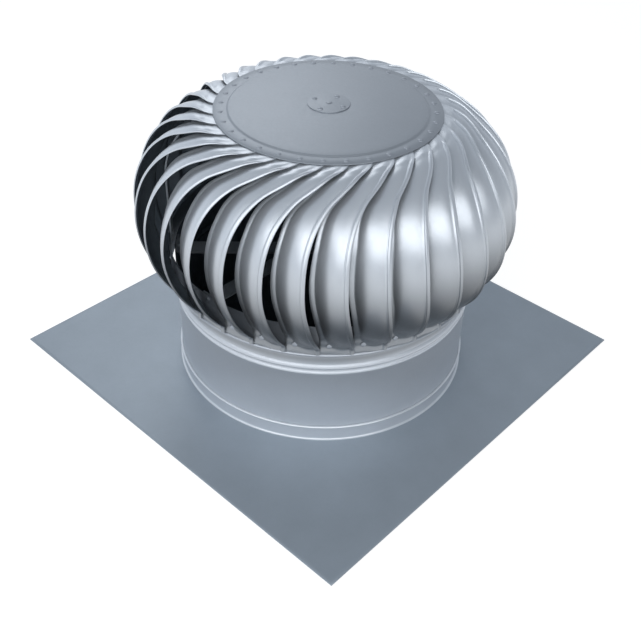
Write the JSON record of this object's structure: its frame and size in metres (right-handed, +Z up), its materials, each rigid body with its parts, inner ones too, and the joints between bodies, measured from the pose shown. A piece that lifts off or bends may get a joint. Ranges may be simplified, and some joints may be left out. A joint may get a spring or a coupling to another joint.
{
  "type": "roof turbine ventilator",
  "caption": "Roof turbine ventilator: a vaned metal dome that spins on a fixed shaft over a round throat and a square flashing plate.",
  "frame": {"origin": "centre of the square base plate's underside, on the spin axis", "axes": "+Z up along the spin axis; +X and +Y along the plate's edges"},
  "size_m": [0.75, 0.75, 0.474],
  "materials": {
    "galvanised_sheet": "satin galvanised sheet",
    "vane_sheet": "satin mill-finish sheet",
    "disc_sheet": "satin mill-finish sheet",
    "skirt_sheet": "satin rolled sheet",
    "rivet_metal": "plain rivet heads",
    "bracket_steel": "galvanised bar",
    "shaft_steel": "ground steel",
    "fastener_steel": "zinc-plated steel",
    "bearing_steel": "polished bearing steel",
    "cage_brass": "plain",
    "housing_metal": "cast and turned"
  },
  "bodies": {
    "base": {"base_flashing": "galvanised_sheet", "throat_collar": "galvanised_sheet", "shaft_bracket": "bracket_steel", "bracket_rivets": "rivet_metal", "shaft": "shaft_steel", "shaft_nuts": "fastener_steel", "shaft_washers": "fastener_steel", "stop_collars": "fastener_steel", "upper_inner_race": "bearing_steel", "lower_inner_race": "bearing_steel"},
    "rotor": {"top_disc": "disc_sheet", "centre_cap": "disc_sheet", "cap_rivets": "rivet_metal", "upper_bearing_housing": "housing_metal", "upper_outer_race": "bearing_steel", "lower_bearing_housing": "housing_metal", "lower_outer_race": "bearing_steel", "housing_bolts": "fastener_steel", "rotor_brace": "bracket_steel", "brace_rivets": "rivet_metal", "inner_stays": "bracket_steel", "skirt_ring": "skirt_sheet", "rim_rivets": "rivet_metal", "foot_rivets": "rivet_metal", "vane_01": "vane_sheet", "vane_02": "vane_sheet", "vane_03": "vane_sheet", "vane_04": "vane_sheet", "vane_05": "vane_sheet", "vane_06": "vane_sheet", "vane_07": "vane_sheet", "vane_08": "vane_sheet", "vane_09": "vane_sheet", "vane_10": "vane_sheet", "vane_11": "vane_sheet", "vane_12": "vane_sheet", "vane_13": "vane_sheet", "vane_14": "vane_sheet", "vane_15": "vane_sheet", "vane_16": "vane_sheet", "vane_17": "vane_sheet", "vane_18": "vane_sheet", "vane_19": "vane_sheet", "vane_20": "vane_sheet", "vane_21": "vane_sheet", "vane_22": "vane_sheet", "vane_23": "vane_sheet", "vane_24": "vane_sheet", "vane_25": "vane_sheet", "vane_26": "vane_sheet", "vane_27": "vane_sheet", "vane_28": "vane_sheet", "vane_29": "vane_sheet", "vane_30": "vane_sheet", "vane_31": "vane_sheet", "vane_32": "vane_sheet"},
    "upper_ball_set": {"upper_balls": "bearing_steel", "upper_cage": "cage_brass"},
    "lower_ball_set": {"lower_balls": "bearing_steel", "lower_cage": "cage_brass"}
  },
  "joints": [
    {"name": "rotor_spin", "type": "hinge", "parent": "base", "child": "rotor", "pos_m": [0, 0, 0.4608], "axis": [0, 0, 1], "continuous": true},
    {"name": "upper_balls_roll", "type": "hinge", "parent": "base", "child": "upper_ball_set", "pos_m": [0, 0, 0.4608], "axis": [0, 0, 1], "continuous": true},
    {"name": "lower_balls_roll", "type": "hinge", "parent": "base", "child": "lower_ball_set", "pos_m": [0, 0, 0.2375], "axis": [0, 0, 1], "continuous": true}
  ],
  "couplings": [
    {"joint": "upper_balls_roll", "follows": "rotor_spin", "ratio": 0.618},
    {"joint": "lower_balls_roll", "follows": "rotor_spin", "ratio": 0.618}
  ]
}
